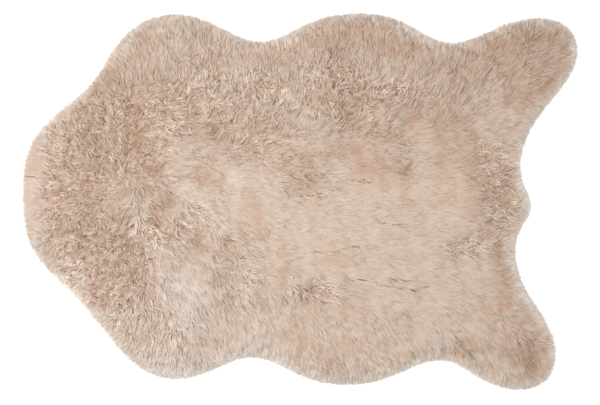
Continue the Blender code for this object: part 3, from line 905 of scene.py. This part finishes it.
def lockReach(tree, given, place, clumps, way):  # from a lock's root to its tip
    stray = stored(tree, "stray")
    fringe = stored(tree, "fringe")
    spread = given["Length Spread"]
    share = randomBetween(given, minus(1.0, spread), plus(1.0, spread), 2)
    values = {"Factor": fringe, 2: given["Length"], 3: given["Fringe Length"]}
    length = addNode(tree, "ShaderNodeMix", values).outputs[0]
    shorter = times(stray, given["Stray Shortening"])
    length = times(times(length, share), minus(1.0, shorter))
    toCentre = vectorTimes(vectorMinus(clumps["Position"], place), (1.0, 1.0, 0.0))
    gather = times(given["Clump"], times(minus(1.0, fringe), stray))
    reach = splitUp(vectorPlus(scaled(way, length), scaled(toCentre, gather)))
    room = minus(given["Top"], splitUp(place)[2])
    return joined(reach[0], reach[1], least(reach[2], room))


def lockTurn(tree, given, reach, looser):
    turned = addNode(
        tree,
        "FunctionNodeAxesToRotation",
        {0: reach, 1: (0.0, 0.0, 1.0)},
        primary_axis="X",
        secondary_axis="Z",
    ).outputs[0]
    roll = randomBetween(given, -1.0, 1.0, 3)
    roll = times(roll, times(given["Roll"], looser))
    values = {"Axis": (1.0, 0.0, 0.0), "Angle": roll}
    rolled = addNode(tree, "FunctionNodeAxisAngleToRotation", values).outputs[0]
    return addNode(
        tree,
        "FunctionNodeRotateRotation",
        {"Rotation": turned, "Rotate By": rolled},
        rotation_space="LOCAL",
    ).outputs[0]


def lockTone(tree, given, flatPlace, clumpTone, looser):
    stray = stored(tree, "stray")
    tone = timesPlus(clumpTone, given["Clump Tone"], stored(tree, "tone"))
    ownTone = randomBetween(given, *pile["ownTones"], 4)
    varied = timesPlus(stray, pile["strayVaried"], pile["calmVaried"])
    tone = plus(tone, times(ownTone, times(given["Lock Tone"], varied)))
    # painted shadow: a share of locks is made dark to stand for the shadowed gaps between tufts
    chance = randomBetween(given, 0.0, 1.0, 6)
    isShadowLock = isBelow(chance, times(given["Dark Share"], stray))
    tone = minus(tone, times(isShadowLock, times(given["Dark Tone"], looser)))
    # painted shadow along the crease lines, where the pile falls apart
    lines = addNode(tree, "GeometryNodeObjectInfo", {"Object": given["Creases"]})
    values = {"Geometry": lines.outputs["Geometry"], "Sample Position": flatPlace}
    toLine = addNode(tree, "GeometryNodeProximity", values, target_element="EDGES")
    onLine = isBelow(toLine.outputs["Distance"], given["Crease Width"])
    return minus(tone, times(onLine, given["Crease Tone"]))


def lockShade(tree, given, clumpTone):
    # How far a lock's tip stays from the painted light: its own random darkness, its patch's lift (tone
    # with painted light and shade) on unruly locks, and its clump's random darkness
    ownShade = randomBetween(given, pile["ownShadeLow"], given["Lock Shade"], 7)
    ownShade = times(ownShade, stored(tree, "unruly"))
    patchShade = times(given["Patch Shade"], stored(tree, "lift"))
    return minus(ownShade, plus(patchShade, times(given["Clump Shade"], clumpTone)))


def lockMap(tree, given):  # a lock's tone and the way along it, so that its colours bake true
    across = stored(tree, "across")
    start, share = pile["mapStart"], pile["mapShare"]
    u = timesPlus(across, pile["acrossTone"], stored(tree, "lockTone"))
    u = timesPlus(u, share, start)
    u = least(most(u, pile["toneEnds"][0]), pile["toneEnds"][1])
    # The place on the painted shade ramp: unruly locks run from the dark end, painted shade deep in the
    # pile, to the light end, painted light on their tips; smooth locks keep to the even middle, and rim
    # tips go a little lighter, also painted light
    calm = minus(1.0, stored(tree, "unruly"))
    lit = times(given["Root Light"], calm)
    inner = timesPlus(stored(tree, "fringe"), pile["fringeShade"], 1.0)
    tipShade = times(given["Tip Shade"], times(calm, inner))
    tipShade = plus(tipShade, stored(tree, "lockShade"))
    v = timesPlus(stored(tree, "depth"), minus(minus(1.0, lit), tipShade), lit)
    v = least(timesPlus(v, share, start), pile["shadeEnd"])
    return joined(u, timesPlus(across, pile["acrossWay"], v))


def makePileTree():
    tree = bpy.data.node_groups.new("growPile", "GeometryNodeTree")
    given = pileInputs(tree)
    tree.interface.new_socket("Geometry", in_out="OUTPUT", socket_type="NodeSocketGeometry")
    place = addNode(tree, "GeometryNodeInputPosition").outputs[0]
    flatPlace = vectorTimes(place, (1.0, 1.0, 0.0))
    stray = stored(tree, "stray")
    looser = timesPlus(stray, 1 - pile["calmLoose"], pile["calmLoose"])
    clumps = clumpCells(given, flatPlace)
    clumpTone = times(minus(splitUp(clumps["Color"])[2], 0.5), looser)

    way = lockWay(tree, given, place, clumps, looser)
    reach = lockReach(tree, given, place, clumps, way)
    points = lockRoots(tree, given)
    points = keep(points, "lockTone", lockTone(tree, given, flatPlace, clumpTone, looser))
    points = keep(points, "lockShade", lockShade(tree, given, clumpTone))
    values = {"Collection": given["Locks"], "Separate Children": True, "Reset Children": True}
    shapes = addNode(tree, "GeometryNodeCollectionInfo", values)
    moreKinds = len(lockShape["bends"]) - pile["calmKinds"] - pile["kindsShort"]
    kinds = timesPlus(stray, moreKinds, pile["calmKinds"])
    which = randomBetween(given, 0.0, kinds, 5)
    values = {
        "Points": points,
        "Instance": shapes.outputs[0],
        "Pick Instance": True,
        "Instance Index": calc("FLOOR", which),
        "Rotation": lockTurn(tree, given, reach, looser),
        "Scale": vectorCalc("LENGTH", reach),
    }
    planted = addNode(tree, "GeometryNodeInstanceOnPoints", values)
    real = addNode(tree, "GeometryNodeRealizeInstances", {"Geometry": planted.outputs[0]})
    x, y, z = splitUp(place)
    values = {"Geometry": real.outputs[0], "Position": joined(x, y, most(z, pile["lowest"]))}
    laid = addNode(tree, "GeometryNodeSetPosition", values)
    mapped = keep(laid.outputs[0], "OFBake", lockMap(tree, given), "FLOAT2", "CORNER")
    values = {"Geometry": mapped, "Material": given["Fur"]}
    coloured = addNode(tree, "GeometryNodeSetMaterial", values)
    addNode(tree, "NodeGroupOutput", {"Geometry": coloured.outputs[0]})
    return tree


def isFloorFace(normal):
    return normal.z < -0.9


def bandCarrier(underfurPiece, low, high, name):  # the underfur's faces between two places in X
    mesh = bmesh.new()
    mesh.from_mesh(underfurPiece.data)
    away = []
    for face in mesh.faces:
        middle = face.calc_center_median()
        if isFloorFace(face.normal) or not low <= middle.x < high:
            away.append(face)
    bmesh.ops.delete(mesh, geom=away, context="FACES")
    data = bpy.data.meshes.new(name)
    mesh.to_mesh(data)
    mesh.free()
    return shown(name, data)


def bandEdges(underfurPiece, count):  # places in X that share the top's area evenly
    middles = []
    areas = []
    for face in underfurPiece.data.polygons:
        if not isFloorFace(face.normal):
            middles.append(face.center.x)
            areas.append(face.area)
    order = np.argsort(middles)
    share = np.cumsum(np.array(areas)[order]) / sum(areas)
    cuts = np.interp(np.arange(1, count) / count, share, np.array(middles)[order])
    return [-math.inf, *cuts, math.inf]


def dropAttributes(data, names):
    for name in names:
        if name in data.attributes:
            data.attributes.remove(data.attributes[name])


def growBand(name, carrier, tree, given):
    modifier = carrier.modifiers.new("pile", "NODES")
    modifier.node_group = tree
    given.update({key: value for key, value in pile.items() if key[0].isupper()})
    for socket in tree.interface.items_tree:
        if socket.in_out == "INPUT" and socket.name in given:
            modifier[socket.identifier] = given[socket.name]
    carrier.update_tag()
    graph = bpy.context.evaluated_depsgraph_get()
    data = bpy.data.meshes.new_from_object(carrier.evaluated_get(graph))
    data.name = name
    bpy.data.objects.remove(carrier)
    dropAttributes(data, napNames + ["lockTone", "lockShade", "across", "depth"])
    return shown(name, data)


# Materials
furLook = {
    "tones": [  # along the map's width, dark to light
        (0.00, (0.234, 0.156, 0.111)),
        (0.25, (0.410, 0.325, 0.271)),
        (0.45, (0.475, 0.425, 0.385)),
        (0.65, (0.514, 0.500, 0.486)),
        (0.85, (0.581, 0.574, 0.560)),
        (1.00, (0.679, 0.666, 0.646)),
    ],
    # Painted shade and light along a lock: a dark root deep in the pile, and on unruly locks a light tip
    # that makes up for the shadows among them
    "shades": [  # along a lock, root to tip
        (0.00, (0.059, 0.036, 0.024)),
        (0.16, (0.278, 0.163, 0.105)),
        (0.32, (0.326, 0.291, 0.263)),
        (0.46, (0.326, 0.292, 0.266)),
        (0.64, (0.528, 0.470, 0.427)),
        (0.83, (0.706, 0.648, 0.600)),
        (1.00, (0.787, 0.738, 0.695)),
    ],
    "gain": 2.25,
    "roughness": 0.72,
    "sheen": 0.06,
    "sheenRoughness": 0.45,
    "sheenTint": (1.0, 0.96, 0.92),
    "specular": 0.12,
}
underfurLook = {
    "fine": {"Scale": 260.0, "Detail": 4.0},
    # Painted shade in the partings: darker wool where the pile parts; lighter wool under the smooth pile,
    # painted light that keeps the gaps between its locks from looking shadowed
    "partedShade": [(0.25, (0.200, 0.130, 0.090)), (0.75, (0.360, 0.255, 0.190))],
    "smooth": [(0.25, (0.340, 0.265, 0.212)), (0.75, (0.420, 0.335, 0.275))],
    "partedFrom": [(0.1, (0.0, 0.0, 0.0)), (0.5, (1.0, 1.0, 1.0))],  # by how stray it is
    "roughness": 0.95,
    "specular": 0.1,
    "bump": 0.6,
    "bumpHigh": 0.002,
}
backingLook = {
    "rows": {"Scale": 110.0, "Distortion": 1.2, "Detail": 1.0},
    "wales": {"Scale": 75.0, "Distortion": 1.6, "Detail": 1.0},
    "knit": 0.8,
    "colours": [(0.0, (0.42, 0.34, 0.27)), (1.0, (0.60, 0.51, 0.43))],
    "roughness": 0.9,
    "specular": 0.2,
    "bump": 0.5,
    "bumpHigh": 0.001,
}


def newMaterial(name, look, **values):
    material = bpy.data.materials.new(name)
    material.use_nodes = True
    shader = material.node_tree.nodes["Principled BSDF"]
    values.update(Roughness=look["roughness"], Specular_IOR_Level=look["specular"])
    for key, value in values.items():
        shader.inputs[key.replace("_", " ")].default_value = value
    return material, material.node_tree, shader


def bumped(tree, shader, height, look):
    given = {"Height": height, "Strength": look["bump"], "Distance": look["bumpHigh"]}
    bump = addNode(tree, "ShaderNodeBump", given)
    tree.links.new(bump.outputs[0], shader.inputs["Normal"])


def ramp(tree, value, stops):
    node = addNode(tree, "ShaderNodeValToRGB", {"Fac": value})
    while len(node.color_ramp.elements) < len(stops):
        node.color_ramp.elements.new(0.5)
    for element, (place, colour) in zip(node.color_ramp.elements, stops):
        element.position = place
        element.color = (*colour, 1)
    return node.outputs["Color"]


def blend(tree, kind, factor, first, second):
    given = {0: factor, 6: first, 7: second}
    return addNode(tree, "ShaderNodeMix", given, data_type="RGBA", blend_type=kind).outputs[2]


def furMaterial():
    material, tree, shader = newMaterial(
        "pileFur",
        furLook,
        Sheen_Weight=furLook["sheen"],
        Sheen_Roughness=furLook["sheenRoughness"],
        Sheen_Tint=(*furLook["sheenTint"], 1),
    )
    tone, way, _ = splitUp(addNode(tree, "ShaderNodeUVMap", uv_map="OFBake").outputs["UV"])
    # the colour: the tone, times the painted shade and light along the lock
    tones = ramp(tree, tone, furLook["tones"])
    shades = scaled(ramp(tree, way, furLook["shades"]), furLook["gain"])
    colour = blend(tree, "MULTIPLY", 1.0, tones, shades)
    tree.links.new(colour, shader.inputs["Base Color"])
    return material


def underfurMaterial():
    material, tree, shader = newMaterial("underfurWool", underfurLook)
    place = addNode(tree, "ShaderNodeTexCoord").outputs["Object"]
    given = {"Vector": place, **underfurLook["fine"]}
    fine = addNode(tree, "ShaderNodeTexNoise", given).outputs["Fac"]
    # painted shade where the pile parts, painted light under the smooth pile, mixed by how stray the pile
    # is
    partedShade = ramp(tree, fine, underfurLook["partedShade"])
    smooth = ramp(tree, fine, underfurLook["smooth"])
    stray = addNode(tree, "ShaderNodeAttribute", attribute_name="stray").outputs["Fac"]
    isParted = ramp(tree, stray, underfurLook["partedFrom"])
    colour = blend(tree, "MIX", isParted, smooth, partedShade)
    tree.links.new(colour, shader.inputs["Base Color"])
    bumped(tree, shader, fine, underfurLook)
    return material


def backingMaterial():
    material, tree, shader = newMaterial("backingKnit", backingLook)
    place = addNode(tree, "ShaderNodeTexCoord").outputs["Object"]
    waves = []
    for name, way in (("rows", "X"), ("wales", "Y")):
        given = {"Vector": place, **backingLook[name]}
        wave = addNode(tree, "ShaderNodeTexWave", given, bands_direction=way)
        waves.append(wave.outputs["Color"])
    knit = blend(tree, "MULTIPLY", backingLook["knit"], *waves)
    colour = ramp(tree, knit, backingLook["colours"])
    tree.links.new(colour, shader.inputs["Base Color"])
    bumped(tree, shader, knit, backingLook)
    return material


def finished(piece, material=None):
    if material:
        piece.data.materials.append(material)
    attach(piece, "root")
    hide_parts("fur_rug")
    return piece


makeStudio()
foot = footRing()
cloth, clothSize, clothArea = makeBacking(evenRing(foot, backing["step"]))
finished(cloth, backingMaterial())
print("backing cloth laid")

woolRing = evenRing(foot, underfur["step"])
wool = makeUnderfur(woolRing)
creases = makeCreases(*setNap(wool, woolRing))
print("underfur made")

tree = makePileTree()
shapes = makeLockShapes()
fur = furMaterial()
edges = bandEdges(wool, len(pile["bands"]))
for number, name in enumerate(pile["bands"]):
    carrier = bandCarrier(wool, edges[number], edges[number + 1], name + "Carrier")
    given = {"Locks": shapes, "Fur": fur, "Creases": creases, "Seed": pile["seed"] + 10 * number}
    band = growBand(name, carrier, tree, given)
    finished(band)
    print(name, "grown with", len(band.data.polygons), "faces")
dropAttributes(wool.data, [name for name in napNames if name != "stray"])
finished(wool, underfurMaterial())
